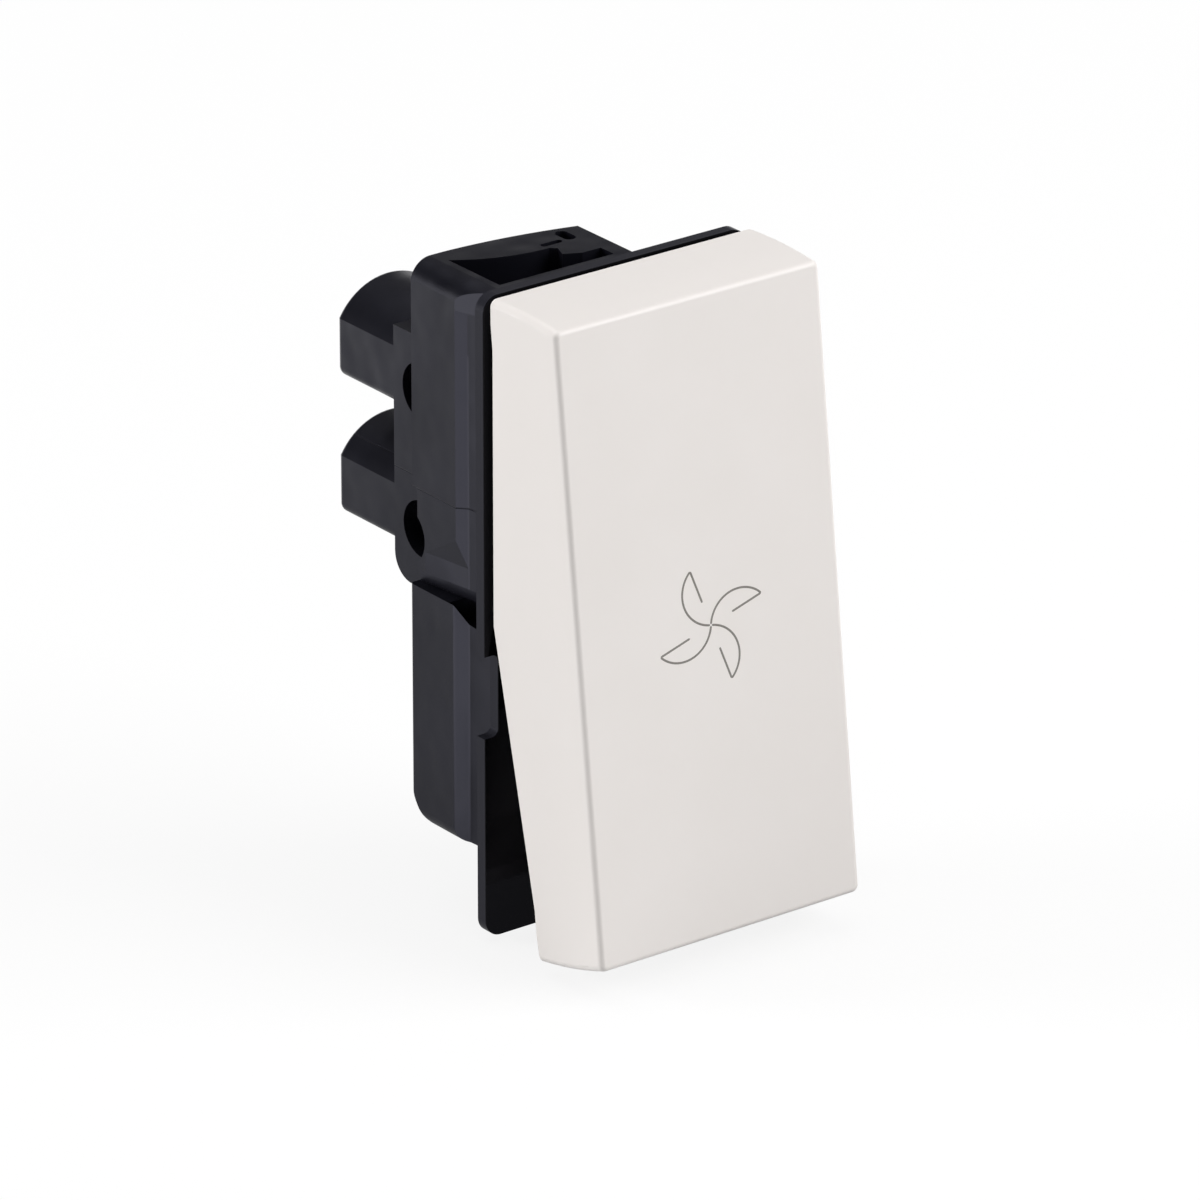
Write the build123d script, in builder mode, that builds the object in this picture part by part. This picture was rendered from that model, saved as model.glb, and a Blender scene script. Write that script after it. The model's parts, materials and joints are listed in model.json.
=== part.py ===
# Fan switch: a one-module rocker switch that snaps into a mounting frame and has two screw terminals.
# Front is -Y, +X is right and +Z is up. The origin is on the back of the front plate, at pivot height.
import os
from math import cos, radians, sin, tan

from build123d import *

os.makedirs("parts", exist_ok=True)

# Rocker key, at rest with its top pressed in
key_width = 21.6
key_half_height = 22.8
key_depth = 9.48
key_end_inset = 0.97
key_end_bulge = 0.17
key_wall = 1.3
key_face = 1.7
key_edge_radius = 0.4
key_corner_radius = 0.5
skirt_inset = 0.15
skirt_setback = 1.67
rock_angle = 6.56
rim_gap = 0.8
hook_width = 3.0
hook_spread = 5.0
hook_thickness = 0.8
hook_grip = 0.6

# Front plate
plate_thickness = 0.9
plate_corner = 1.2
notch_depth = 1.1
notch_top = -2.5
notch_bottom = -8.4
notch_radius = 0.5
window_half_height = 3.4
cheek_side_gap = 0.35
cheek_thickness = 1.4
cheek_radius = 1.9

# Dolly, plunger and spring
pin_radius = 1.1
running_clearance = 0.05
pivot_bar_radius = 1.35
side_clearance = 0.3
platform_depth = 1.6
platform_half_height = 9.0
rib_thickness = 1.2
rib_spread = 4.2
stem_radius = 2.0
stem_reach = 2.6
plunger_radius = 0.9
plunger_gap = 0.05
plunger_rear = -0.4
plunger_travel = 0.4
spring_wire = 0.3
spring_wire_facets = 8
spring_turns = 3
spring_pocket_end = 3.0

# Housing: neck behind the plate, shoulder, proud blocks and clip tower
neck_flare = 0.2
channel_depth = 2.05
shoulder_end = 2.65
edge_radius = 0.3
block_inset = 0.3
block_rear = 7.45
wall_step = 0.55
wall_step_height = 6.9
lower_inset = 0.1
lower_overhang = 0.05
lower_bottom = -17.1
lower_corner_radius = 3.1
lower_side_radius = 1.0
lower_top = 0.0
groove_top = 1.15
groove_drop = 1.7
groove_depth = 0.8
groove_run_out = 1.0
barb_cut = 0.6
ramp_low = 2.6
ramp_high = 4.9
ramp_length = 4.0
tower_right = 2.0
tower_rear_right = 5.9
tower_rear_sweep = 40.0
tower_shoulder = 1.5
tower_shoulder_height = 1.9
tower_shoulder_sag = 0.55
tower_flange = 2.0
pocket_side_wall = 1.2
pocket_right = 0.8
pocket_front = 0.4
pocket_rear = 6.0
pocket_floor_wall = 1.7
tongue_y = 3.8
tongue_crest_x = -5.2
tongue_wave = 0.5
claw_left = -1.9
claw_y = 1.8
claw_lead = 1.2
claw_notch = 0.4
eye_x = 0.3
eye_y = 5.0
eye_length = 1.7
eye_width = 0.9
eye_depth = 2.0
slit_length = 1.7
slit_width = 0.5
cavity_side_wall = 1.4
cavity_bottom_wall = 1.25
cavity_margin = 0.8

# Terminal base: slab with two screw lobes
base_inset = 0.4
base_below_saddle = 2.15
base_above_saddle = 0.95
base_front = 5.4
base_rear = 11.1
base_edge_radius = 1.8
fit_clearance = 0.05
lobe_rear = 17.5
lobe_width = 8.2
lobe_drop = 1.8
lobe_side_rise = 2.35
lobe_crown = 4.7
lobe_edge_radius = 0.5
lobe_bottom_radius = 0.7

# Terminals
terminal_low = 3.25
terminal_pitch = 9.8
wire_radius = 2.0
wire_from_strip = 2.7
wire_depth = 1.5
wire_stop_radius = 1.5
strip_thickness = 0.8
saddle_length = 4.0
saddle_wall = 0.6
saddle_nut = 0.8
saddle_below = 2.1
saddle_cover = 0.7
pocket_play = 0.1
screw_rise = 0.7
screw_radius = 1.5
screw_head_radius = 2.0
screw_head_height = 1.6
screw_bore_play = 0.15
screw_slot_width = 0.6
screw_slot_depth = 0.8
screw_seat = 0.5
clamp_travel = 2.0
clamp_plate_thickness = 0.8

# Contact mechanism, right of the terminals
blade_side_gap = 1.0
blade_thickness = 0.57
blade_width = 4.6
blade_tail = 2.4
blade_length = 8.4
blade_end_radius = 0.8
contact_height = 7.0
contact_radius = 1.4
contact_depth = 0.57
contact_edge_chamfer = 0.15
fixed_contact_radius = 1.6
fixed_contact_depth = 0.35
contact_air = 0.07
ridge_half_base = 0.7
ridge_radius = 0.25
strip_margin = 0.3
line_strip_bottom = -0.6
line_strip_top = 3.0
load_pad_margin = 0.2

# Widths worked out from the key
neck_half = key_width / 2 - notch_depth
block_half = key_width / 2 - block_inset
lower_half = key_width / 2 - lower_inset
base_half = neck_half - base_inset
base_left = -base_half
cavity_half = neck_half - cavity_side_wall
groove_floor = neck_half - groove_depth
pocket_left = pocket_side_wall - neck_half
key_hollow_half = key_width / 2 - skirt_inset - key_wall
platform_half = key_hollow_half - side_clearance
pin_half = key_hollow_half - cheek_side_gap
cheek_inner = pin_half - cheek_thickness
bar_half = cheek_inner - side_clearance
lobe_x = base_left + lobe_width / 2
saddle_left = lobe_x - saddle_length / 2
saddle_right = lobe_x + saddle_length / 2
mechanism_x = cavity_half - blade_side_gap - blade_width / 2
strip_right = mechanism_x + blade_width / 2 + strip_margin
pad_left = mechanism_x - blade_width / 2 - strip_margin

# Heights worked out from the key and the terminals
plate_height = 2 * key_half_height
tower_top = key_half_height
terminal_heights = {"line": terminal_low, "load": terminal_low + terminal_pitch}
saddle_above = screw_rise + screw_radius + pocket_play + saddle_wall
base_bottom = terminal_heights["line"] - saddle_below - base_below_saddle
base_top = terminal_heights["load"] + saddle_above + base_above_saddle
cavity_top = base_top - cavity_margin
cavity_bottom = lower_bottom + cavity_bottom_wall
pocket_depth = tower_top - cavity_top - pocket_floor_wall

# Depths worked out from the plate and the terminal base
tilt = radians(rock_angle)
pivot_y = -(plate_thickness + rim_gap)
lower_rear = block_rear + lower_overhang
strip_rear = base_front + strip_thickness
wire_y = base_front + wire_from_strip
saddle_rear = base_rear - saddle_cover
screw_floor = base_rear + screw_seat
contact_swing = (contact_height + contact_radius) * sin(tilt) + contact_depth * cos(tilt)
fulcrum_y = base_front - fixed_contact_depth - contact_swing - contact_air
fulcrum_reach = fulcrum_y - pivot_y
key_inner = key_depth - key_face
platform_v = cheek_radius + side_clearance
platform_top = platform_v + platform_depth
plunger_v = -(fulcrum_reach - running_clearance / 2 - blade_thickness - plunger_gap)
plunger_bore = plunger_radius + running_clearance

# Planes of the tilted rocker: its face plane (x across, y up, z to the front) and its side plane
face_plane = Plane(origin=(0, pivot_y, 0), x_dir=(1, 0, 0), z_dir=(0, -cos(tilt), sin(tilt)))
side_plane = Plane(origin=(0, pivot_y, 0), x_dir=(0, sin(tilt), cos(tilt)), z_dir=(1, 0, 0))

# Plane of the contact blade, tilted the other way on its fulcrum
blade_plane = Plane(
    origin=(mechanism_x, fulcrum_y, 0), x_dir=(1, 0, 0), z_dir=(0, -cos(tilt), -sin(tilt))
)


def rectangle(left, right, bottom, top, mode=Mode.ADD):
    """A rectangle in the current sketch, given by its four sides."""
    with Locations(((left + right) / 2, (bottom + top) / 2)):
        Rectangle(right - left, top - bottom, mode=mode)


def block_corners(half, rear):
    """Corners of a block's plan: flared neck behind the plate, slanted shoulder and proud side."""
    right = [(neck_half, 0), (neck_half + neck_flare, channel_depth), (half, shoulder_end), (half, rear)]
    return right + [(-x, y) for x, y in reversed(right)]


# Front plate with the dolly's window, the side notch and two bearing cheeks
with BuildPart() as support_plate:
    with BuildSketch(Plane.XZ):
        RectangleRounded(key_width, plate_height, plate_corner)
        rectangle(-cheek_inner, cheek_inner, -window_half_height, window_half_height, Mode.SUBTRACT)
        with Locations((-key_width / 2, (notch_top + notch_bottom) / 2)):
            RectangleRounded(2 * notch_depth, notch_top - notch_bottom, notch_radius, mode=Mode.SUBTRACT)
    extrude(amount=plate_thickness)
    for side in (-1, 1):
        with BuildSketch(Plane.YZ.offset(side * (cheek_inner + cheek_thickness / 2))):
            with Locations((pivot_y, 0)):
                Circle(cheek_radius)
            rectangle(pivot_y, 0, -cheek_radius, cheek_radius)
            rectangle(0, cheek_radius, -cheek_radius, cheek_radius, Mode.SUBTRACT)
        extrude(amount=cheek_thickness / 2, both=True)
    with BuildSketch(Plane.YZ):
        with Locations((pivot_y, 0)):
            Circle(pin_radius + running_clearance)
    extrude(amount=pin_half, both=True, mode=Mode.SUBTRACT)
support_plate.part.label = "support_plate"
export_step(support_plate.part, "parts/support_plate.step")

# Housing: clip tower, upper block and lower block around one cavity
with BuildPart() as housing:
    # Clip tower: front outline with a rounded left shoulder, trimmed to its curved plan
    with BuildSketch(Plane.XZ):
        with BuildLine():
            shoulder_start = (-block_half, tower_top - tower_shoulder_height)
            shoulder_stop = (tower_shoulder - block_half, tower_top)
            Polyline(
                shoulder_stop, (tower_right, tower_top), (tower_right, 0), (-block_half, 0), shoulder_start,
            )
            SagittaArc(shoulder_start, shoulder_stop, tower_shoulder_sag)
        make_face()
    extrude(amount=-block_rear)
    with BuildSketch(Plane.XY) as tower_plan:
        with BuildLine():
            Polyline(
                (-block_half, block_rear), (-block_half, shoulder_end), (-neck_half, 0),
                (tower_right, 0), (tower_right, tower_rear_right),
            )
            RadiusArc((tower_right, tower_rear_right), (-block_half, block_rear), -tower_rear_sweep)
        make_face()
        fillet(tower_plan.vertices().filter_by_position(Axis.X, -block_half, -block_half), edge_radius)
    extrude(amount=tower_top, mode=Mode.INTERSECT)
    # Channel for the frame's edge, closed at the top by the tower's flange
    with BuildSketch(Plane.XY):
        with BuildLine():
            channel_corner = (-neck_half - neck_flare, channel_depth)
            Polyline((-neck_half, 0), channel_corner, (-block_half, shoulder_end), close=True)
        make_face()
    extrude(amount=tower_top - tower_flange, mode=Mode.SUBTRACT)
    # Upper block across the full width, up to the terminal level
    with BuildSketch(Plane.XY) as block_plan:
        with BuildLine():
            Polyline(*block_corners(block_half, block_rear), close=True)
        make_face()
        fillet(block_plan.vertices().filter_by_position(Axis.Y, channel_depth, block_rear), edge_radius)
    extrude(amount=base_top + cavity_margin)
    # Lower block, a little prouder, with rounded bottom edges at the rear and at both sides
    with BuildSketch(Plane.XY.offset(lower_bottom)) as lower_plan:
        with BuildLine():
            Polyline(*block_corners(lower_half, lower_rear), close=True)
        make_face()
        fillet(lower_plan.vertices().filter_by_position(Axis.Y, channel_depth, lower_rear), edge_radius)
    extrude(amount=lower_top - lower_bottom)
    with BuildSketch(Plane.YZ):
        corner_y = lower_rear - lower_corner_radius
        corner_z = lower_bottom + lower_corner_radius
        rectangle(corner_y, lower_rear, lower_bottom, corner_z)
        with Locations((corner_y, corner_z)):
            Circle(lower_corner_radius, mode=Mode.SUBTRACT)
    extrude(amount=lower_half, both=True, mode=Mode.SUBTRACT)
    with BuildSketch(Plane.XZ):
        round_x = lower_half - lower_side_radius
        round_z = lower_bottom + lower_side_radius
        rectangle(-lower_half, -round_x, lower_bottom, round_z)
        rectangle(round_x, lower_half, lower_bottom, round_z)
        with GridLocations(2 * round_x, 0, 2, 1):
            with Locations((0, round_z)):
                Circle(lower_side_radius, mode=Mode.SUBTRACT)
    extrude(amount=-lower_rear, mode=Mode.SUBTRACT)
    # Seat of the terminal base, and the cavity in front of it
    with BuildSketch(Plane.XZ.offset(-base_front)):
        seat_half = base_half + fit_clearance
        rectangle(-seat_half, seat_half, base_bottom - fit_clearance, base_top + fit_clearance)
    extrude(amount=-lower_rear, mode=Mode.SUBTRACT)
    with BuildSketch(Plane.XZ):
        rectangle(-cavity_half, cavity_half, cavity_bottom, cavity_top)
    extrude(amount=-base_front, mode=Mode.SUBTRACT)
    # Snap catch on each side: a groove over the lower block, and a ramp in front of the upper block
    for side in (-1, 1):
        groove_way = Vector(side * groove_run_out, lower_rear, 0)
        with BuildSketch(Plane.XZ):
            with Locations((side * (groove_floor + lower_half) / 2, (lower_top + groove_top) / 2)):
                Rectangle(lower_half - groove_floor, groove_top - lower_top)
        extrude(amount=groove_way.length, dir=groove_way.normalized(), mode=Mode.SUBTRACT)
        with BuildSketch(Plane.XZ):
            with BuildLine():
                barb_foot = lower_top - groove_drop
                Polyline(
                    (side * lower_half, lower_top), (side * neck_half, barb_foot),
                    (side * groove_floor, barb_foot), (side * groove_floor, lower_top), close=True,
                )
            make_face()
        extrude(amount=-shoulder_end - barb_cut, mode=Mode.SUBTRACT)
        flared_half = neck_half + neck_flare
        ramp_way = Vector(side * (block_half - flared_half), ramp_length, 0)
        with BuildSketch(Plane.XZ.offset(-channel_depth)):
            with BuildLine():
                Polyline(
                    (side * lower_half, groove_top), (side * flared_half, groove_top),
                    (side * flared_half, ramp_low), (side * block_half, ramp_high),
                    (side * lower_half, ramp_high), close=True,
                )
            make_face()
        extrude(amount=ramp_way.length, dir=ramp_way.normalized(), mode=Mode.SUBTRACT)
    # Left wall: set back below the step, and notched for the lower wire entry
    with BuildSketch(Plane.XY.offset(groove_top)):
        rectangle(-lower_half, -base_half, block_rear - wall_step, lower_rear)
    extrude(amount=wall_step_height - groove_top, mode=Mode.SUBTRACT)
    with BuildSketch(Plane.YZ.offset(-lower_half)):
        with Locations((wire_y, terminal_low)):
            Circle(wire_radius)
    extrude(amount=lower_half - base_half, mode=Mode.SUBTRACT)
    # Latch pocket behind the plate, open at the top: its rear side is the wavy latch tongue with a claw
    with BuildSketch(Plane.XY.offset(tower_top)):
        with BuildLine():
            tongue_start = (pocket_left, pocket_rear)
            tongue_stop = (claw_left - claw_notch, tongue_y)
            Polyline(
                tongue_start, (pocket_left, pocket_front), (pocket_right, pocket_front),
                (pocket_right, claw_y), (claw_left + claw_lead, claw_y), (claw_left, claw_y + claw_lead / 2),
                (claw_left + claw_lead / 3, tongue_y - claw_notch), (claw_left, tongue_y), tongue_stop,
            )
            Spline(tongue_stop, (tongue_crest_x, tongue_y + tongue_wave), tongue_start)
        make_face()
    extrude(amount=-pocket_depth, mode=Mode.SUBTRACT)
    # Moulding eye and slit in the tower's top, behind the claw
    with BuildSketch(Plane.XY.offset(tower_top)):
        with Locations((eye_x, eye_y)):
            SlotOverall(eye_length, eye_width, rotation=90)
        with Locations((claw_left + claw_lead / 2, tongue_y + claw_lead / 2)):
            SlotOverall(slit_length, slit_width)
    extrude(amount=-eye_depth, mode=Mode.SUBTRACT)
housing.part.label = "housing"
export_step(housing.part, "parts/housing.step")

# Terminal base: slab behind the upper block, with a lobe round each terminal screw
with BuildPart() as terminal_base:
    with BuildSketch(Plane.XZ.offset(-base_front)):
        rectangle(-base_half, base_half, base_bottom, base_top)
    extrude(amount=base_front - base_rear)
    fillet(terminal_base.edges().filter_by(Axis.X).group_by(Axis.Z)[0].sort_by(Axis.Y)[-1], base_edge_radius)
    for height in terminal_heights.values():
        with BuildSketch(Plane.XZ.offset(-base_rear)) as lobe:
            with BuildLine():
                bottom = height - lobe_drop
                eaves = height + lobe_side_rise
                left = base_left
                right = base_left + lobe_width
                Polyline((left, eaves), (left, bottom), (right, bottom), (right, eaves))
                ThreePointArc((left, eaves), (lobe_x, height + lobe_crown), (right, eaves))
            make_face()
            fillet(lobe.vertices().filter_by_position(Axis.Y, bottom, bottom), lobe_bottom_radius)
        extrude(amount=base_rear - lobe_rear)
    rear_rims = terminal_base.faces().group_by(Axis.Y)[-1].edges()
    fillet(rear_rims, lobe_edge_radius)
    # Tray for the contact strips
    with BuildSketch(Plane.XZ.offset(-base_front)):
        rectangle(
            saddle_left - pocket_play, strip_right + pocket_play, line_strip_bottom,
            terminal_heights["load"] + saddle_above + pocket_play,
        )
    extrude(amount=-strip_thickness, mode=Mode.SUBTRACT)
    for height in terminal_heights.values():
        # Pocket of the clamp saddle
        with BuildSketch(Plane.XZ.offset(-base_front)):
            rectangle(
                saddle_left - pocket_play, saddle_right + pocket_play,
                height - saddle_below - pocket_play, height + saddle_above + pocket_play,
            )
        extrude(amount=base_front - saddle_rear - pocket_play, mode=Mode.SUBTRACT)
        # Screw way: shank hole from the pocket, wider bore for the head from the rear
        with BuildSketch(Plane.XZ.offset(-lobe_rear)):
            with Locations((lobe_x, height + screw_rise)):
                Circle(screw_head_radius + screw_bore_play)
        extrude(amount=lobe_rear - screw_floor, mode=Mode.SUBTRACT)
        with BuildSketch(Plane.XZ.offset(-screw_floor)):
            with Locations((lobe_x, height + screw_rise)):
                Circle(screw_radius + screw_bore_play)
        extrude(amount=screw_floor - saddle_rear, mode=Mode.SUBTRACT)
        # Wire entry from the left, stepped down where the insulation stops
        with BuildSketch(Plane.YZ.offset(base_left)):
            with Locations((wire_y, height)):
                Circle(wire_radius)
        extrude(amount=wire_depth, mode=Mode.SUBTRACT)
        with BuildSketch(Plane.YZ.offset(base_left + wire_depth)):
            with Locations((wire_y, height)):
                Circle(wire_stop_radius)
        extrude(amount=saddle_left - base_left - wire_depth, mode=Mode.SUBTRACT)
terminal_base.part.label = "terminal_base"
export_step(terminal_base.part, "parts/terminal_base.step")

# Rocker key: hollow cap with convex ends, a flat front and a skirt that bends at the pivot
with BuildPart() as rocker_key:
    rim_rise = key_half_height * tan(tilt)
    skirt_half = key_half_height - skirt_setback
    skirt_depth = skirt_half * tan(tilt)
    front_half = key_half_height - key_end_inset
    end_middle = ((key_half_height + front_half) / 2 + key_end_bulge, (rim_rise + key_depth) / 2)
    with BuildSketch(side_plane):
        with BuildLine():
            Polyline(
                (-key_half_height, rim_rise), (-skirt_half, skirt_depth),
                (skirt_half, skirt_depth), (key_half_height, rim_rise),
            )
            ThreePointArc((key_half_height, rim_rise), end_middle, (front_half, key_depth))
            Line((front_half, key_depth), (-front_half, key_depth))
            low_middle = (-end_middle[0], end_middle[1])
            ThreePointArc((-front_half, key_depth), low_middle, (-key_half_height, rim_rise))
        make_face()
    extrude(amount=key_width / 2, both=True)
    fillet(rocker_key.edges().filter_by(GeomType.CIRCLE), key_corner_radius)
    fillet(rocker_key.faces().sort_by(Axis((0, 0, 0), face_plane.z_dir))[-1].edges(), key_edge_radius)
    with BuildSketch(side_plane):
        with BuildLine():
            Polyline((0, 0), (skirt_half, skirt_depth), (-skirt_half, skirt_depth), close=True)
        make_face()
    extrude(amount=key_width / 2 - skirt_inset, both=True)
    with BuildSketch(face_plane):
        Rectangle(2 * key_hollow_half, 2 * (key_half_height - key_wall))
    extrude(amount=key_inner, mode=Mode.SUBTRACT)
    # Hooks on the side walls that hold the key on the dolly's platform
    for side in (-1, 1):
        with BuildSketch(face_plane.offset(platform_v - hook_thickness)):
            with GridLocations(0, 2 * hook_spread, 1, 2):
                with Locations((side * (key_hollow_half - (side_clearance + hook_grip) / 2), 0)):
                    Rectangle(side_clearance + hook_grip, hook_width)
        extrude(amount=hook_thickness)
rocker_key.part.label = "rocker_key"
export_step(rocker_key.part, "parts/rocker_key.step")

# Dolly: platform and ribs under the key, pivot bar with its pins, and the hollow stem
with BuildPart() as dolly:
    with BuildSketch(face_plane.offset(platform_v)):
        Rectangle(2 * platform_half, 2 * platform_half_height)
    extrude(amount=platform_depth)
    with BuildSketch(face_plane.offset(platform_top)):
        with GridLocations(2 * rib_spread, 0, 2, 1):
            Rectangle(rib_thickness, 2 * platform_half_height)
    extrude(amount=key_inner - platform_top)
    with BuildSketch(side_plane):
        Circle(pivot_bar_radius)
        rectangle(-pivot_bar_radius, pivot_bar_radius, 0, platform_v)
    extrude(amount=bar_half, both=True)
    with BuildSketch(side_plane):
        Circle(pin_radius)
    extrude(amount=pin_half, both=True)
    with BuildSketch(face_plane.offset(-stem_reach)):
        with Locations((mechanism_x, 0)):
            Circle(stem_radius)
    extrude(amount=stem_reach + platform_v)
    with BuildSketch(face_plane.offset(-stem_reach)):
        with Locations((mechanism_x, 0)):
            Circle(plunger_bore)
    extrude(amount=stem_reach + spring_pocket_end, mode=Mode.SUBTRACT)
dolly.part.label = "dolly"
export_step(dolly.part, "parts/dolly.step")

# Plunger: round-nosed pin that rides on the contact blade
with BuildPart() as plunger:
    with BuildSketch(face_plane.offset(plunger_v)):
        with Locations((mechanism_x, 0)):
            Circle(plunger_radius)
    extrude(amount=plunger_rear - plunger_v)
    nose_edge = plunger.edges().filter_by(GeomType.CIRCLE).sort_by(Axis((0, 0, 0), face_plane.z_dir))[0]
    fillet(nose_edge, plunger_radius - running_clearance)
plunger.part.label = "plunger"
export_step(plunger.part, "parts/plunger.step")

# Coil spring between the plunger and the end of the dolly's bore
with BuildPart() as plunger_spring:
    coil_radius = plunger_radius - spring_wire / 2
    coil_start = plunger_rear + plunger_travel + spring_wire
    coil_height = spring_pocket_end - coil_start - spring_wire / 2
    coil_plane = face_plane.offset(coil_start)
    coil_base = coil_plane.from_local_coords((mechanism_x, 0, 0))
    with BuildLine():
        pitch = coil_height / spring_turns
        coil = Helix(pitch, coil_height, coil_radius, center=coil_base, direction=face_plane.z_dir)
    with BuildSketch(Plane(origin=coil @ 0, z_dir=coil % 0)):
        RegularPolygon(spring_wire / 2, spring_wire_facets)
    sweep(path=coil, is_frenet=True)
plunger_spring.part.label = "plunger_spring"
export_step(plunger_spring.part, "parts/plunger_spring.step")

# Contact blade that rocks on the line strip's fulcrum, at rest with its contact end forward
with BuildPart() as moving_blade:
    with BuildSketch(blade_plane.offset(running_clearance / 2)):
        rectangle(-blade_width / 2, blade_width / 2, -blade_tail, blade_length)
    extrude(amount=blade_thickness)
    blade_ends = moving_blade.edges().filter_by(Axis((0, 0, 0), blade_plane.z_dir))
    fillet(blade_ends, blade_end_radius)
    with BuildSketch(Plane.YZ.offset(mechanism_x)):
        with Locations((fulcrum_y, 0)):
            Circle(ridge_radius + running_clearance)
    extrude(amount=blade_width / 2, both=True, mode=Mode.SUBTRACT)
moving_blade.part.label = "moving_blade"
export_step(moving_blade.part, "parts/moving_blade.step")

# Silver contact on the back of the blade
with BuildPart() as moving_contact:
    with BuildSketch(blade_plane.offset(running_clearance / 2)):
        with Locations((0, contact_height)):
            Circle(contact_radius)
    extrude(amount=-contact_depth)
    contact_rim = moving_contact.edges().sort_by(Axis((0, 0, 0), blade_plane.z_dir))[0]
    chamfer(contact_rim, contact_edge_chamfer)
moving_contact.part.label = "moving_contact"
export_step(moving_contact.part, "parts/moving_contact.step")

# Contact strips: flat stampings in the base's tray, each with a tongue under its terminal
contact_z = contact_height * cos(tilt)
pad_spans = {
    "line": (line_strip_bottom, line_strip_top),
    "load": (contact_z - fixed_contact_radius - load_pad_margin, terminal_heights["load"]),
}
for pole, (pad_bottom, pad_top) in pad_spans.items():
    height = terminal_heights[pole]
    with BuildPart() as strip:
        with BuildSketch(Plane.XZ.offset(-strip_rear)):
            rectangle(saddle_left, saddle_right, height - saddle_below, height + saddle_above)
            rectangle(saddle_left, strip_right, height - saddle_below, pad_top)
            rectangle(pad_left, strip_right, pad_bottom, pad_top)
        extrude(amount=strip_thickness)
        if pole == "line":
            with BuildSketch(Plane.YZ.offset(mechanism_x)):
                with BuildLine():
                    Polyline(
                        (fulcrum_y, -ridge_radius), (fulcrum_y, ridge_radius),
                        (base_front, ridge_half_base), (base_front, -ridge_half_base), close=True,
                    )
                make_face()
                with Locations((fulcrum_y, 0)):
                    Circle(ridge_radius)
            extrude(amount=blade_width / 2, both=True)
    strip.part.label = f"{pole}_strip"
    export_step(strip.part, f"parts/{pole}_strip.step")

# Fixed contact on the load strip, facing the blade's contact
with BuildPart() as fixed_contact:
    with BuildSketch(Plane.XZ.offset(-base_front)):
        with Locations((mechanism_x, contact_z)):
            Circle(fixed_contact_radius)
    extrude(amount=fixed_contact_depth)
    chamfer(fixed_contact.edges().sort_by(Axis.Y)[0], contact_edge_chamfer)
fixed_contact.part.label = "fixed_contact"
export_step(fixed_contact.part, "parts/fixed_contact.step")

# Terminals: saddle round the wire space, clamp screw through its back wall, pressure plate on the screw
for pole, height in terminal_heights.items():
    nut_front = saddle_rear - saddle_nut
    screw_centre = (lobe_x, height + screw_rise)
    with BuildPart() as saddle:
        with BuildSketch(Plane.XZ.offset(-strip_rear)):
            rectangle(saddle_left, saddle_right, height - saddle_below, height + saddle_above)
        extrude(amount=strip_rear - saddle_rear)
        with BuildSketch(Plane.XZ.offset(-strip_rear)):
            rectangle(
                saddle_left, saddle_right,
                height - saddle_below + saddle_wall, height + saddle_above - saddle_wall,
            )
        extrude(amount=strip_rear - nut_front, mode=Mode.SUBTRACT)
        with BuildSketch(Plane.XZ.offset(-saddle_rear)):
            with Locations(screw_centre):
                Circle(screw_radius + running_clearance)
        extrude(amount=saddle_nut, mode=Mode.SUBTRACT)
    saddle.part.label = f"{pole}_saddle"
    export_step(saddle.part, f"parts/{pole}_saddle.step")

    with BuildPart() as pressure_plate:
        plate_rear = nut_front - running_clearance
        with BuildSketch(Plane.XZ.offset(-plate_rear)):
            rectangle(
                saddle_left + saddle_wall, saddle_right - saddle_wall,
                height - saddle_below + saddle_wall + pocket_play,
                height + saddle_above - saddle_wall - pocket_play,
            )
        extrude(amount=clamp_plate_thickness)
    pressure_plate.part.label = f"{pole}_pressure_plate"
    export_step(pressure_plate.part, f"parts/{pole}_pressure_plate.step")

    with BuildPart() as screw:
        head_front = screw_floor + clamp_travel + pocket_play
        with BuildSketch(Plane.XZ.offset(-plate_rear)):
            with Locations(screw_centre):
                Circle(screw_radius)
        extrude(amount=plate_rear - head_front)
        with BuildSketch(Plane.XZ.offset(-head_front)):
            with Locations(screw_centre):
                Circle(screw_head_radius)
        extrude(amount=-screw_head_height)
        with BuildSketch(Plane.XZ.offset(-head_front - screw_head_height)):
            with Locations(screw_centre):
                Rectangle(2 * screw_head_radius, screw_slot_width)
        extrude(amount=screw_slot_depth, mode=Mode.SUBTRACT)
    screw.part.label = f"{pole}_screw"
    export_step(screw.part, f"parts/{pole}_screw.step")
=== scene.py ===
# Looks of a one-module fan switch: a white rocker key with a printed fan sign, on a black snap-in mechanism.
# Sections follow the switch as it is put together, from the rear mouldings to the sign on the key.
import json
from math import cos, pi, radians, sin

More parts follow.
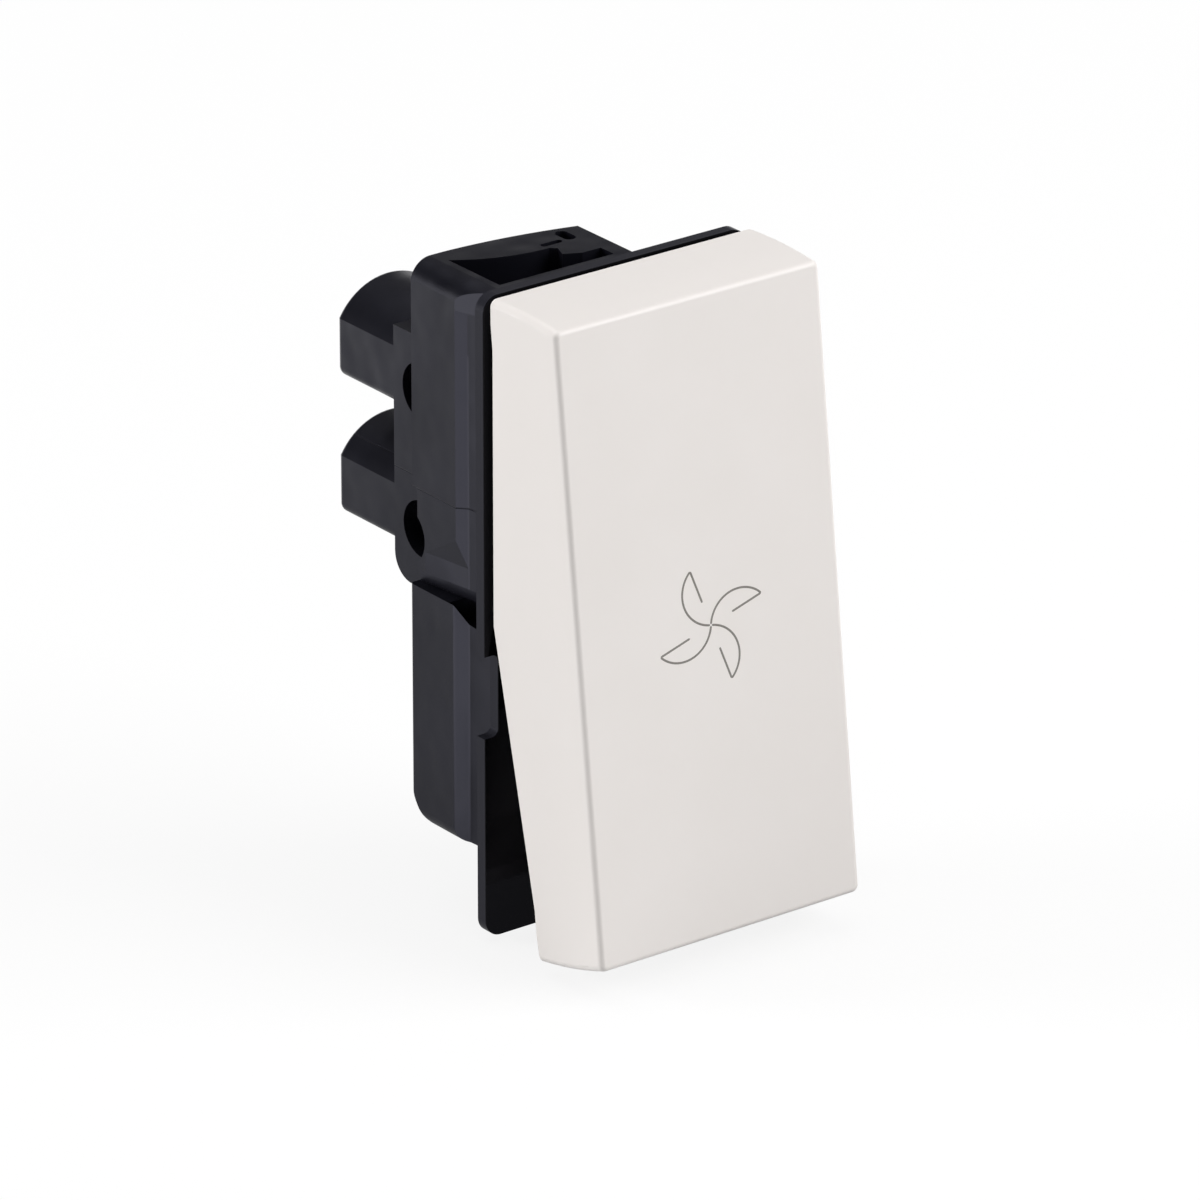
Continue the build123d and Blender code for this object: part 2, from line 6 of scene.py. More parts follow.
import bpy
import numpy as np
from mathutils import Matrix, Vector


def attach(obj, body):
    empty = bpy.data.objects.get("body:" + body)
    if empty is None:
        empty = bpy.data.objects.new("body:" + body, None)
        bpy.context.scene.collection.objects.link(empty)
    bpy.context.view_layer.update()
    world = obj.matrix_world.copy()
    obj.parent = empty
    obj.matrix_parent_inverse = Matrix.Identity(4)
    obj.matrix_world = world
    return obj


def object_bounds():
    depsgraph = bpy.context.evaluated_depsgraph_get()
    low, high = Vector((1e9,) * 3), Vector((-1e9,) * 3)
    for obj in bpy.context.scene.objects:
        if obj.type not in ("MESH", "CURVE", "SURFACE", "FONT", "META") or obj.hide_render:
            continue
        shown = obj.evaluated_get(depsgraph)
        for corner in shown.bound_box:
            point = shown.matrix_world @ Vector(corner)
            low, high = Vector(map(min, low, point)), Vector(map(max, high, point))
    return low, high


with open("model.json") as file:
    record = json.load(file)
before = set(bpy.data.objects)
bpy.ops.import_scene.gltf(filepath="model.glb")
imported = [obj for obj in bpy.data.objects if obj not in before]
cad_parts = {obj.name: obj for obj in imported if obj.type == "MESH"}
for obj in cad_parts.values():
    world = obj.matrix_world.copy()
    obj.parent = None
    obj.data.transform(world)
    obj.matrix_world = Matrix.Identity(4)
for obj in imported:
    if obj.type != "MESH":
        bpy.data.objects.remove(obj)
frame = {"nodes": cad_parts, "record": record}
loaded_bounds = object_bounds()


# Housing and terminal base: black glass-filled nylon, injection moulded in spark-eroded tools.
# The surface is satin with a fine grain, slightly bluish, and a hairline shows where the tool halves met.
MM = 0.001
moulding_black = "#0D0D12"
moulding_bloom = "#15151C"
moulding_sheen = "#E7E7FF"
moulding_roughness = (0.28, 0.36)
moulding_ior = 1.5
moulding_specular = 0.4
flow_pitch = 6.0 * MM
sink_pitch = 3.0 * MM
sink_depth = 0.25 * MM
sink_strength = 0.5
grain_pitch = 0.16 * MM
grain_depth = 0.01 * MM
grain_strength = 0.12
parting_height = 6.9 * MM
parting_width = 0.06 * MM
parting_depth = 0.05 * MM
parting_strength = 0.6
noise_low, noise_high = 0.3, 0.7


def linear(hex_colour):
    """sRGB hex to linear RGBA: c / 12.92 in the toe, ((c + 0.055) / 1.055) to the power 2.4 above it."""
    srgb = np.array([int(hex_colour[i:i + 2], 16) for i in (1, 3, 5)]) / 255
    rgb = np.where(srgb <= 0.04045, srgb / 12.92, ((srgb + 0.055) / 1.055) ** 2.4)
    return (*rgb.tolist(), 1.0)


def add(tree, kind, settings, inputs):
    """Adds one node with its settings; an input is a plain value, or another node's output to link."""
    node = tree.nodes.new(kind)
    for name, value in settings.items():
        setattr(node, name, value)
    for name, value in inputs.items():
        if isinstance(value, bpy.types.NodeSocket):
            tree.links.new(value, node.inputs[name])
        else:
            node.inputs[name].default_value = value
    return node


def start_material(name):
    """An empty material with its output node, its tree and the Object coordinates that its patterns read."""
    material = bpy.data.materials.new(name)
    material.use_nodes = True
    tree = material.node_tree
    tree.nodes.clear()
    output = add(tree, "ShaderNodeOutputMaterial", {}, {})
    place = add(tree, "ShaderNodeTexCoord", {}, {}).outputs["Object"]
    return material, tree, output, place


def dress(material, *names):
    """Gives each named CAD node this material in all its slots."""
    for name in names:
        mesh = frame["nodes"][name].data
        mesh.materials.clear()
        mesh.materials.append(material)


satin_nylon, tree, output, place = start_material("satin_black_moulded_nylon")
# Flow of the melt: broad, faint changes of sheen and depth of black
flow = add(tree, "ShaderNodeTexNoise", {}, {"Vector": place, "Scale": 1 / flow_pitch, "Detail": 3.0})
black = add(
    tree, "ShaderNodeMix", {"data_type": "RGBA"},
    {"Factor": flow.outputs["Fac"], "A": linear(moulding_black), "B": linear(moulding_bloom)},
)
sheen = add(
    tree, "ShaderNodeMapRange", {},
    {"Value": flow.outputs["Fac"], "From Min": noise_low, "From Max": noise_high,
     "To Min": moulding_roughness[0], "To Max": moulding_roughness[1]},
)
# Sink marks: the walls are very slightly wavy
sink = add(tree, "ShaderNodeTexNoise", {}, {"Vector": place, "Scale": 1 / sink_pitch, "Detail": 1.0})
waved = add(
    tree, "ShaderNodeBump", {},
    {"Strength": sink_strength, "Distance": sink_depth, "Height": sink.outputs["Fac"]},
)
# Spark-eroded grain, drawn a little coarser than the real 0.05 mm so that it shows
grain = add(tree, "ShaderNodeTexNoise", {}, {"Vector": place, "Scale": 1 / grain_pitch, "Detail": 2.0})
grained = add(
    tree, "ShaderNodeBump", {},
    {"Strength": grain_strength, "Distance": grain_depth, "Height": grain.outputs["Fac"],
     "Normal": waved.outputs["Normal"]},
)
# Parting hairline: a fine groove round the moulding where the tool halves met
height = add(tree, "ShaderNodeSeparateXYZ", {}, {"Vector": place}).outputs["Z"]
off_line = add(tree, "ShaderNodeMath", {"operation": "SUBTRACT"}, {0: height, 1: parting_height})
off_line = add(tree, "ShaderNodeMath", {"operation": "ABSOLUTE"}, {0: off_line.outputs["Value"]})
groove = add(
    tree, "ShaderNodeMapRange", {"interpolation_type": "SMOOTHSTEP"},
    {"Value": off_line.outputs["Value"], "From Max": parting_width},
)
lined = add(
    tree, "ShaderNodeBump", {},
    {"Strength": parting_strength, "Distance": parting_depth, "Height": groove.outputs["Result"],
     "Normal": grained.outputs["Normal"]},
)
skin = add(
    tree, "ShaderNodeBsdfPrincipled", {},
    {"Base Color": black.outputs["Result"], "Roughness": sheen.outputs["Result"], "IOR": moulding_ior,
     "Specular IOR Level": moulding_specular, "Specular Tint": linear(moulding_sheen),
     "Normal": lined.outputs["Normal"]},
)
tree.links.new(skin.outputs["BSDF"], output.inputs["Surface"])
dress(satin_nylon, "housing", "terminal_base")


# Front plate: the same black nylon; its face is glossy from a polished tool, and its rim is satin.
# It carries the dolly's bearings, and its edge covers the mounting frame's opening.
plate_black = "#030304"
plate_bloom = "#060608"
# The rim's greyer colour is a painted sheen, standing in for the satin rim's reflection
plate_rim_painted_sheen = "#26262C"
plate_roughness = (0.07, 0.1)
rim_roughness = 0.3
plate_specular = 0.15
plate_ripple_pitch = 2.5 * MM
plate_ripple_depth = 0.02 * MM
plate_ripple_strength = 0.05
polish_end = -0.88 * MM
satin_start = -0.8 * MM

glossy_nylon, tree, output, place = start_material("glossy_black_moulded_nylon")
ripple = add(
    tree, "ShaderNodeTexNoise", {},
    {"Vector": place, "Scale": 1 / plate_ripple_pitch, "Detail": 2.0},
)
black = add(
    tree, "ShaderNodeMix", {"data_type": "RGBA"},
    {"Factor": ripple.outputs["Fac"], "A": linear(plate_black), "B": linear(plate_bloom)},
)
sheen = add(
    tree, "ShaderNodeMapRange", {},
    {"Value": ripple.outputs["Fac"], "From Min": noise_low, "From Max": noise_high,
     "To Min": plate_roughness[0], "To Max": plate_roughness[1]},
)
# The polish ends at the edge of the front face; the rim behind it is satin, and its base colour is painted
# greyer as a painted sheen
depth = add(tree, "ShaderNodeSeparateXYZ", {}, {"Vector": place}).outputs["Y"]
sheen = add(
    tree, "ShaderNodeMapRange", {},
    {"Value": depth, "From Min": polish_end, "From Max": satin_start, "To Min": sheen.outputs["Result"],
     "To Max": rim_roughness},
)
rim = add(tree, "ShaderNodeMapRange", {}, {"Value": depth, "From Min": polish_end, "From Max": satin_start})
black = add(
    tree, "ShaderNodeMix", {"data_type": "RGBA"},
    {"Factor": rim.outputs["Result"], "A": black.outputs["Result"], "B": linear(plate_rim_painted_sheen)},
)
rippled = add(
    tree, "ShaderNodeBump", {},
    {"Strength": plate_ripple_strength, "Distance": plate_ripple_depth, "Height": ripple.outputs["Fac"]},
)
skin = add(
    tree, "ShaderNodeBsdfPrincipled", {},
    {"Base Color": black.outputs["Result"], "Roughness": sheen.outputs["Result"], "IOR": moulding_ior,
     "Specular IOR Level": plate_specular, "Specular Tint": linear(moulding_sheen),
     "Normal": rippled.outputs["Normal"]},
)
tree.links.new(skin.outputs["BSDF"], output.inputs["Surface"])
dress(glossy_nylon, "support_plate")


# Contact strips, clamp saddles and contact blade: half-hard brass, stamped from rolled strip.
# Rolling leaves fine streaks along the strip, and the stamped metal is a little dulled by handling.
brass_bright = "#D2B06A"
brass_dull = "#B8934F"
brass_roughness = (0.24, 0.36)
streak_pitch = 0.25 * MM
streak_stretch = 0.06
streak_depth = 0.01 * MM
streak_strength = 0.15

rolled_brass, tree, output, place = start_material("rolled_stamped_brass")
along = add(tree, "ShaderNodeMapping", {}, {"Vector": place, "Scale": (streak_stretch, 1.0, 1.0)})
streaks = add(
    tree, "ShaderNodeTexNoise", {},
    {"Vector": along.outputs["Vector"], "Scale": 1 / streak_pitch, "Detail": 3.0},
)
tone = add(
    tree, "ShaderNodeMix", {"data_type": "RGBA"},
    {"Factor": streaks.outputs["Fac"], "A": linear(brass_bright), "B": linear(brass_dull)},
)
polish = add(
    tree, "ShaderNodeMapRange", {},
    {"Value": streaks.outputs["Fac"], "From Min": noise_low, "From Max": noise_high,
     "To Min": brass_roughness[0], "To Max": brass_roughness[1]},
)
rolled = add(
    tree, "ShaderNodeBump", {},
    {"Strength": streak_strength, "Distance": streak_depth, "Height": streaks.outputs["Fac"]},
)
metal = add(
    tree, "ShaderNodeBsdfPrincipled", {},
    {"Base Color": tone.outputs["Result"], "Metallic": 1.0, "Roughness": polish.outputs["Result"],
     "Normal": rolled.outputs["Normal"]},
)
tree.links.new(metal.outputs["BSDF"], output.inputs["Surface"])
dress(rolled_brass, "line_strip", "load_strip", "line_saddle", "load_saddle", "moving_blade")


# Contacts: silver-alloy discs, riveted on the brass and coined flat.
# New silver is pale and soft-bright, with a faint bloom.
silver_pale = "#DEDCD6"
silver_bloom = "#C6C3BC"
silver_roughness = (0.2, 0.34)
bloom_pitch = 0.5 * MM

contact_silver, tree, output, place = start_material("coined_contact_silver")
bloom = add(tree, "ShaderNodeTexNoise", {}, {"Vector": place, "Scale": 1 / bloom_pitch, "Detail": 2.0})
tone = add(
    tree, "ShaderNodeMix", {"data_type": "RGBA"},
    {"Factor": bloom.outputs["Fac"], "A": linear(silver_pale), "B": linear(silver_bloom)},
)
polish = add(
    tree, "ShaderNodeMapRange", {},
    {"Value": bloom.outputs["Fac"], "From Min": noise_low, "From Max": noise_high,
     "To Min": silver_roughness[0], "To Max": silver_roughness[1]},
)
metal = add(
    tree, "ShaderNodeBsdfPrincipled", {},
    {"Base Color": tone.outputs["Result"], "Metallic": 1.0, "Roughness": polish.outputs["Result"]},
)
tree.links.new(metal.outputs["BSDF"], output.inputs["Surface"])
dress(contact_silver, "fixed_contact", "moving_contact")


# Clamp screws and pressure plates: steel, turned or stamped, zinc plated and passivated.
# The plating is pale grey with a slight blue cast; the screws' thread rings show along the shank.
zinc_pale = "#C9CCD0"
zinc_shade = "#A9ADB3"
zinc_roughness = (0.28, 0.42)
plating_pitch = 0.4 * MM
plating_depth = 0.01 * MM
plating_strength = 0.1
thread_pitch = 0.5 * MM
thread_depth = 0.1 * MM
thread_strength = 0.5

plated_steel, tree, output, place = start_material("zinc_plated_steel")
plating = add(tree, "ShaderNodeTexNoise", {}, {"Vector": place, "Scale": 1 / plating_pitch, "Detail": 3.0})
tone = add(
    tree, "ShaderNodeMix", {"data_type": "RGBA"},
    {"Factor": plating.outputs["Fac"], "A": linear(zinc_pale), "B": linear(zinc_shade)},
)
polish = add(
    tree, "ShaderNodeMapRange", {},
    {"Value": plating.outputs["Fac"], "From Min": noise_low, "From Max": noise_high,
     "To Min": zinc_roughness[0], "To Max": zinc_roughness[1]},
)
plated = add(
    tree, "ShaderNodeBump", {},
    {"Strength": plating_strength, "Distance": plating_depth, "Height": plating.outputs["Fac"]},
)
metal = add(
    tree, "ShaderNodeBsdfPrincipled", {},
    {"Base Color": tone.outputs["Result"], "Metallic": 1.0, "Roughness": polish.outputs["Result"],
     "Normal": plated.outputs["Normal"]},
)
tree.links.new(metal.outputs["BSDF"], output.inputs["Surface"])
dress(plated_steel, "line_pressure_plate", "load_pressure_plate")

threaded_steel = plated_steel.copy()
threaded_steel.name = "zinc_plated_threaded_steel"
tree = threaded_steel.node_tree
place = next(n for n in tree.nodes if n.type == "TEX_COORD").outputs["Object"]
shader = next(n for n in tree.nodes if n.type == "BSDF_PRINCIPLED")
# A Wave node's bands repeat every 2 pi / 20 over its scale
rings = add(
    tree, "ShaderNodeTexWave", {"wave_type": "BANDS", "bands_direction": "Y"},
    {"Vector": place, "Scale": 2 * pi / 20 / thread_pitch},
)
threads = add(
    tree, "ShaderNodeBump", {},
    {"Strength": thread_strength, "Distance": thread_depth, "Height": rings.outputs["Fac"],
     "Normal": next(n for n in tree.nodes if n.type == "BUMP").outputs["Normal"]},
)
tree.links.new(threads.outputs["Normal"], shader.inputs["Normal"])
dress(threaded_steel, "line_screw", "load_screw")


# Plunger and its coil spring: ground steel pin and drawn spring wire, hidden in the dolly's bore.
# Drawn and ground steel is darker than the plating, with fine marks round the pin.
steel_light = "#A8AAAD"
steel_dark = "#86888C"
steel_roughness = (0.25, 0.38)
mark_pitch = 0.2 * MM

drawn_steel, tree, output, place = start_material("ground_and_drawn_steel")
marks = add(tree, "ShaderNodeTexNoise", {}, {"Vector": place, "Scale": 1 / mark_pitch, "Detail": 3.0})
tone = add(
    tree, "ShaderNodeMix", {"data_type": "RGBA"},
    {"Factor": marks.outputs["Fac"], "A": linear(steel_light), "B": linear(steel_dark)},
)
polish = add(
    tree, "ShaderNodeMapRange", {},
    {"Value": marks.outputs["Fac"], "From Min": noise_low, "From Max": noise_high,
     "To Min": steel_roughness[0], "To Max": steel_roughness[1]},
)
metal = add(
    tree, "ShaderNodeBsdfPrincipled", {},
    {"Base Color": tone.outputs["Result"], "Metallic": 1.0, "Roughness": polish.outputs["Result"]},
)
tree.links.new(metal.outputs["BSDF"], output.inputs["Surface"])
dress(drawn_steel, "plunger", "plunger_spring")


# Dolly: black acetal, injection moulded, with pins that turn in the front plate's cheeks.
# Acetal is smooth and waxy, with a soft sheen; no light shows through it behind the key.
acetal_black = "#101013"
acetal_shade = "#18181C"
acetal_roughness = (0.34, 0.46)
acetal_ior = 1.48
cloud_pitch = 3.0 * MM

waxy_acetal, tree, output, place = start_material("moulded_black_acetal")
cloud = add(tree, "ShaderNodeTexNoise", {}, {"Vector": place, "Scale": 1 / cloud_pitch, "Detail": 3.0})
tone = add(
    tree, "ShaderNodeMix", {"data_type": "RGBA"},
    {"Factor": cloud.outputs["Fac"], "A": linear(acetal_black), "B": linear(acetal_shade)},
)
sheen = add(
    tree, "ShaderNodeMapRange", {},
    {"Value": cloud.outputs["Fac"], "From Min": noise_low, "From Max": noise_high,
     "To Min": acetal_roughness[0], "To Max": acetal_roughness[1]},
)
skin = add(
    tree, "ShaderNodeBsdfPrincipled", {},
    {"Base Color": tone.outputs["Result"], "Roughness": sheen.outputs["Result"], "IOR": acetal_ior},
)
tree.links.new(skin.outputs["BSDF"], output.inputs["Surface"])
dress(waxy_acetal, "dolly")


# Rocker key: warm white polycarbonate, injection moulded in a polished tool and snapped on the dolly.
# The face is a soft gloss with a very shallow ripple; the colour is even, with the faintest cloud.
key_white = "#EDE8E5"
key_cloud = "#EAE5E1"
key_roughness = (0.3, 0.37)
key_ior = 1.5
ripple_pitch = 1.6 * MM
ripple_depth = 0.02 * MM
ripple_strength = 0.05
polish_pitch = 0.2 * MM
polish_depth = 0.005 * MM
polish_strength = 0.06

glossy_polycarbonate, tree, output, place = start_material("soft_gloss_white_polycarbonate")
cloud = add(tree, "ShaderNodeTexNoise", {}, {"Vector": place, "Scale": 1 / flow_pitch, "Detail": 2.0})
tone = add(
    tree, "ShaderNodeMix", {"data_type": "RGBA"},
    {"Factor": cloud.outputs["Fac"], "A": linear(key_white), "B": linear(key_cloud)},
)
sheen = add(
    tree, "ShaderNodeMapRange", {},
    {"Value": cloud.outputs["Fac"], "From Min": noise_low, "From Max": noise_high,
     "To Min": key_roughness[0], "To Max": key_roughness[1]},
)
ripple = add(tree, "ShaderNodeTexNoise", {}, {"Vector": place, "Scale": 1 / ripple_pitch, "Detail": 1.0})
rippled = add(
    tree, "ShaderNodeBump", {},
    {"Strength": ripple_strength, "Distance": ripple_depth, "Height": ripple.outputs["Fac"]},
)
fine = add(tree, "ShaderNodeTexNoise", {}, {"Vector": place, "Scale": 1 / polish_pitch, "Detail": 2.0})
polished = add(
    tree, "ShaderNodeBump", {},
    {"Strength": polish_strength, "Distance": polish_depth, "Height": fine.outputs["Fac"],
     "Normal": rippled.outputs["Normal"]},
)
skin = add(
    tree, "ShaderNodeBsdfPrincipled", {},
    {"Base Color": tone.outputs["Result"], "Roughness": sheen.outputs["Result"], "IOR": key_ior,
     "Normal": polished.outputs["Normal"]},
)
tree.links.new(skin.outputs["BSDF"], output.inputs["Surface"])
dress(glossy_polycarbonate, "rocker_key")


# Fan sign: four open blades drawn in fine grey lines, pad-printed on the key's face with plastic ink.
# Each blade is a straight stroke towards the hub and an arc that runs from its tip into the hub.
rocker_joint = frame["record"]["behaviour"]["joints"][0]
rock_angle = radians(rocker_joint["range_deg"][1] / 2)
key_depth = 9.48 * MM
sign_rise = -0.53 * MM
blade_count = 4
blade_reach = 4.46 * MM
blade_turn = radians(18.25)
arc_rise = 1.42 * MM
open_end = 1.86 * MM
hub_gap = 0.06 * MM
sign_flatness = 0.936
sign_lean = -0.031
line_width = 0.19 * MM
ink_thickness = 0.012 * MM
ink_grey = "#827E78"
ink_dark = "#76726C"
ink_roughness = (0.5, 0.6)
ink_pitch = 0.3 * MM
points_across = 7
straight_points = 40
arc_points = 120


def stroke(path, width, thickness):
    """Sheet of ink along a path: offset from the path by the side vector times the half width, which falls
    off as half a circle at both ends; the film is a cosine hump across, sunk by a third of its thickness at
    its rims."""
    steps = np.gradient(path, axis=0)
    ahead = steps / np.linalg.norm(steps, axis=1, keepdims=True)
    side = np.stack([-ahead[:, 1], ahead[:, 0]], axis=1)
    run = np.concatenate([[0.0], np.cumsum(np.linalg.norm(np.diff(path, axis=0), axis=1))])
    from_end = np.minimum(run, run[-1] - run)
    inside = np.clip(from_end / (width / 2), 0.0, 1.0)
    half = width / 2 * np.sqrt(1 - (1 - inside) ** 2)
    across = np.linspace(-1, 1, points_across)
    flat = path[:, None, :] + side[:, None, :] * (half[:, None] * across)[:, :, None]
    film = thickness * (np.cos(across * pi / 2) * 4 / 3 - 1 / 3)
    lift = np.broadcast_to(film, flat.shape[:2])
    return np.concatenate([flat, lift[:, :, None]], axis=2)


def turned(points, angle):
    """Points turned about the hub in the key's face."""
    turn = np.array([[cos(angle), -sin(angle)], [sin(angle), cos(angle)]])
    return points @ turn.T


def blade_paths():
    """A blade along +X: its straight stroke, and its arc of the given rise over the chord from hub to tip."""
    outward = np.linspace(open_end, blade_reach, straight_points)
    straight = np.stack([outward, np.zeros(straight_points)], axis=1)
    radius = (blade_reach ** 2 / 4 + arc_rise ** 2) / (2 * arc_rise)
    half_sweep = np.arcsin(blade_reach / 2 / radius)
    gap_sweep = hub_gap / radius
    sweep = np.linspace(-half_sweep, half_sweep - gap_sweep, arc_points)
    along = blade_reach / 2 - radius * np.sin(sweep)
    aside = arc_rise - radius + radius * np.cos(sweep)
    return straight, np.stack([along, aside], axis=1)


def grid_faces(rows, columns, first):
    """Quads of a grid of points, row by row, counted from the first point's number."""
    corner = first + np.arange(rows - 1)[:, None] * columns + np.arange(columns - 1)[None, :]
    return np.stack([corner, corner + columns, corner + columns + 1, corner + 1], axis=-1).reshape(-1, 4)


sheets = [
    stroke(turned(path, blade_turn + 2 * pi * blade / blade_count), line_width, ink_thickness)
    for blade in range(blade_count) for path in blade_paths()
]
firsts = np.cumsum([0] + [sheet[..., 0].size for sheet in sheets[:-1]])
faces = np.concatenate([grid_faces(*sheet.shape[:2], first) for sheet, first in zip(sheets, firsts)])
film = np.concatenate([sheet.reshape(-1, 3) for sheet in sheets])
# The sign is drawn a little flat and leaning
film[:, 1] = sign_flatness * film[:, 1] + sign_lean * film[:, 0]
pivot = np.array(rocker_joint["pos_m"])
across_key = np.array([1.0, 0.0, 0.0])
up_key = np.array([0.0, sin(rock_angle), cos(rock_angle)])
out_key = np.array([0.0, -cos(rock_angle), sin(rock_angle)])
on_key = (
    pivot + film[:, :1] * across_key + (film[:, 1:2] + sign_rise) * up_key
    + (film[:, 2:] + key_depth) * out_key
)
sign_mesh = bpy.data.meshes.new("fan_sign")
sign_mesh.from_pydata(on_key, [], faces.tolist())
sign = bpy.data.objects.new("fan_sign", sign_mesh)
bpy.context.scene.collection.objects.link(sign)

pad_ink, tree, output, place = start_material("pad_printed_grey_ink")
cover = add(tree, "ShaderNodeTexNoise", {}, {"Vector": place, "Scale": 1 / ink_pitch, "Detail": 2.0})
tone = add(
    tree, "ShaderNodeMix", {"data_type": "RGBA"},
    {"Factor": cover.outputs["Fac"], "A": linear(ink_grey), "B": linear(ink_dark)},
)
sheen = add(
    tree, "ShaderNodeMapRange", {},
    {"Value": cover.outputs["Fac"], "From Min": noise_low, "From Max": noise_high,
     "To Min": ink_roughness[0], "To Max": ink_roughness[1]},
)
skin = add(
    tree, "ShaderNodeBsdfPrincipled", {},
    {"Base Color": tone.outputs["Result"], "Roughness": sheen.outputs["Result"]},
)
tree.links.new(skin.outputs["BSDF"], output.inputs["Surface"])
sign_mesh.materials.append(pad_ink)
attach(sign, "rocker")


# Floor and light: a white sweep under the switch, pale walls, a darker ceiling and three broad soft lamps.
# The sweep is drawn white for the camera; in reflections it shows a painted pool of light in front and far
# behind and painted shade near the switch, and it keeps the switch's soft shadow.
floor_half = 2.0
floor_gap = 0.5 * MM
floor_white = "#F7F7F7"
floor_bounce = "#B3B3B3"
plain_white = "#FFFFFF"
plain_strength = 1.0
# The front way, the edges and the glows below set painted light on the sweep in reflections: painted pools of
# light in front and far behind, and painted shade near the switch
front_way = (-0.7, -0.71, 0.0)
front_edge = 26.0 * MM
rear_edge = 8.0 * MM
front_painted_light_pool = 2.3
painted_shade_near_switch = 0.42
far_start = -20.0 * MM
far_end = -50.0 * MM
far_painted_light_pool = 0.9
shadow_share = 0.15
wall_strength = 0.6
ceiling_strength = 0.09
wall_top = 0.0
ceiling_from = 0.3
left_lamp = {"power": 8.2, "size": 0.4, "place": (-0.8, 0.6, 0.25), "mirrored": False}
right_lamp = {"power": 7.2, "size": 0.7, "place": (0.48, -0.58, 0.5), "mirrored": True}
top_lamp = {"power": 4.5, "size": 1.0, "place": (0.0, 0.15, 0.9), "mirrored": True}

floor_mesh = bpy.data.meshes.new("floor")
floor_z = loaded_bounds[0][2] - floor_gap
floor_mesh.from_pydata(
    [(-floor_half, -floor_half, floor_z), (floor_half, -floor_half, floor_z),
     (floor_half, floor_half, floor_z), (-floor_half, floor_half, floor_z)],
    [], [(0, 1, 2, 3)],
)
floor = bpy.data.objects.new("floor", floor_mesh)
bpy.context.scene.collection.objects.link(floor)


def seen_ray(tree):
    """1 for rays of the camera, of reflections and of clear pieces, and 0 for all others."""
    rays = add(tree, "ShaderNodeLightPath", {}, {}).outputs
    seen = add(
        tree, "ShaderNodeMath", {"operation": "MAXIMUM"},
        {0: rays["Is Camera Ray"], 1: rays["Is Glossy Ray"]},
    )
    seen = add(
        tree, "ShaderNodeMath", {"operation": "MAXIMUM"},
        {0: seen.outputs["Value"], 1: rays["Is Transmission Ray"]},
    )
    return seen.outputs["Value"]


sweep_with_painted_pool, tree, output, place = start_material("paper_sweep_with_painted_pool")
paper = add(tree, "ShaderNodeBsdfDiffuse", {}, {"Color": linear(floor_white)})
# The light it throws back on the switch is held down, which keeps the key's edges crisp
dim_paper = add(tree, "ShaderNodeBsdfDiffuse", {}, {"Color": linear(floor_bounce)})
diffuse_ray = add(tree, "ShaderNodeLightPath", {}, {}).outputs["Is Diffuse Ray"]
paper = add(
    tree, "ShaderNodeMixShader", {}, {0: diffuse_ray, 1: paper.outputs["BSDF"], 2: dim_paper.outputs["BSDF"]},
)
# In reflections the paper glows brighter in front and far behind as a painted pool of light, and is painted
# darker near the switch as painted shade; the camera sees it plain white
forward = add(tree, "ShaderNodeVectorMath", {"operation": "DOT_PRODUCT"}, {0: place, 1: front_way})
pool = add(
    tree, "ShaderNodeMapRange", {"interpolation_type": "SMOOTHSTEP"},
    {"Value": forward.outputs["Value"], "From Min": rear_edge, "From Max": front_edge, "To Min": painted_shade_near_switch,
     "To Max": front_painted_light_pool},
)
far = add(
    tree, "ShaderNodeMapRange", {"interpolation_type": "SMOOTHSTEP"},
    {"Value": forward.outputs["Value"], "From Min": far_start, "From Max": far_end, "To Max": far_painted_light_pool},
)
pool = add(
    tree, "ShaderNodeMath", {"operation": "ADD"},
    {0: pool.outputs["Result"], 1: far.outputs["Result"]},
)
camera_ray = add(tree, "ShaderNodeLightPath", {}, {}).outputs["Is Camera Ray"]
white = add(
    tree, "ShaderNodeMapRange", {},
    {"Value": camera_ray, "To Min": pool.outputs["Value"], "To Max": plain_strength},
)
glow = add(
    tree, "ShaderNodeEmission", {},
    {"Color": linear(plain_white), "Strength": white.outputs["Result"]},
)
share = add(tree, "ShaderNodeMath", {"operation": "MULTIPLY"}, {0: seen_ray(tree), 1: 1 - shadow_share})
sweep = add(
    tree, "ShaderNodeMixShader", {},
    {0: share.outputs["Value"], 1: paper.outputs["Shader"], 2: glow.outputs["Emission"]},
)
tree.links.new(sweep.outputs["Shader"], output.inputs["Surface"])
floor_mesh.materials.append(sweep_with_painted_pool)

world = bpy.data.worlds.new("white_studio")
bpy.context.scene.world = world
world.use_nodes = True
tree = world.node_tree
tree.nodes.clear()
output = add(tree, "ShaderNodeOutputWorld", {}, {})
way = add(tree, "ShaderNodeTexCoord", {}, {}).outputs["Object"]
rise = add(tree, "ShaderNodeSeparateXYZ", {}, {"Vector": way}).outputs["Z"]
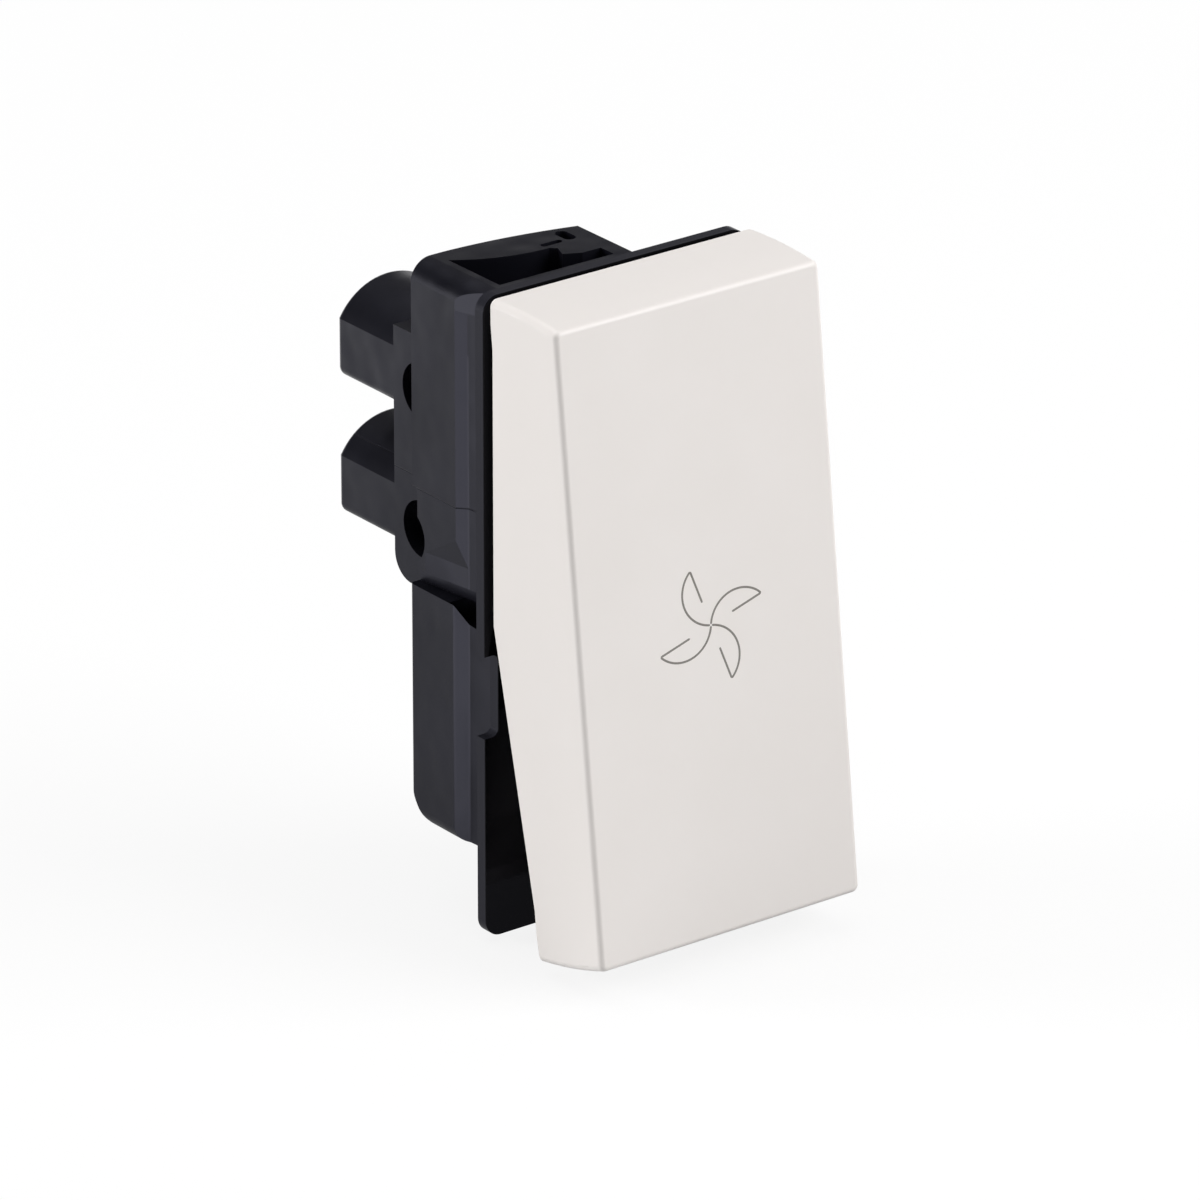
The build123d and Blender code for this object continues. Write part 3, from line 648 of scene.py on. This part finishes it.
# The walls are white where they are seen, also in metal, and throw less light than that on the switch
walls = add(
    tree, "ShaderNodeMapRange", {},
    {"Value": seen_ray(tree), "To Min": wall_strength, "To Max": plain_strength},
)
room = add(
    tree, "ShaderNodeMapRange", {"interpolation_type": "SMOOTHSTEP"},
    {"Value": rise, "From Min": wall_top, "From Max": ceiling_from, "To Min": walls.outputs["Result"],
     "To Max": ceiling_strength},
)
camera_ray = add(tree, "ShaderNodeLightPath", {}, {}).outputs["Is Camera Ray"]
strength = add(
    tree, "ShaderNodeMapRange", {},
    {"Value": camera_ray, "To Min": room.outputs["Result"], "To Max": plain_strength},
)
studio = add(
    tree, "ShaderNodeBackground", {},
    {"Color": linear(plain_white), "Strength": strength.outputs["Result"]},
)
tree.links.new(studio.outputs["Background"], output.inputs["Surface"])


def aim(thing, place, target):
    """Puts a lamp or camera at a place, turned so that its -Z axis points at the target and +Y is up."""
    away = Vector(place) - Vector(target)
    thing.location = place
    thing.rotation_euler = away.to_track_quat("Z", "Y").to_euler()


# The left lamp is kept out of reflections, so that it leaves no bright patch on the black mouldings
for name, values in (("left_lamp", left_lamp), ("right_lamp", right_lamp), ("top_lamp", top_lamp)):
    lamp_data = bpy.data.lights.new(name, "AREA")
    lamp_data.size = values["size"]
    lamp_data.energy = values["power"]
    lamp = bpy.data.objects.new(name, lamp_data)
    bpy.context.scene.collection.objects.link(lamp)
    lamp.visible_glossy = values["mirrored"]
    aim(lamp, values["place"], (0, 0, 0))


# Camera: a long lens from the front left and above, at the photograph's angle and distance.
camera_azimuth = radians(-37.15)
camera_elevation = radians(23.07)
camera_distance = 685.0 * MM
camera_target = np.array([-1.917, -1.7, -0.389]) * MM
camera_lens = 311.6
camera_sensor = 36.0
camera_near = 0.01
camera_far = 20.0

camera_data = bpy.data.cameras.new("camera")
camera_data.lens = camera_lens
camera_data.sensor_width = camera_sensor
camera_data.clip_start = camera_near
camera_data.clip_end = camera_far
camera = bpy.data.objects.new("camera", camera_data)
bpy.context.scene.collection.objects.link(camera)
back = np.array([
    sin(camera_azimuth) * cos(camera_elevation),
    -cos(camera_azimuth) * cos(camera_elevation),
    sin(camera_elevation),
])
aim(camera, camera_target + back * camera_distance, camera_target)
bpy.context.scene.camera = camera
bpy.context.scene.view_settings.view_transform = "Standard"
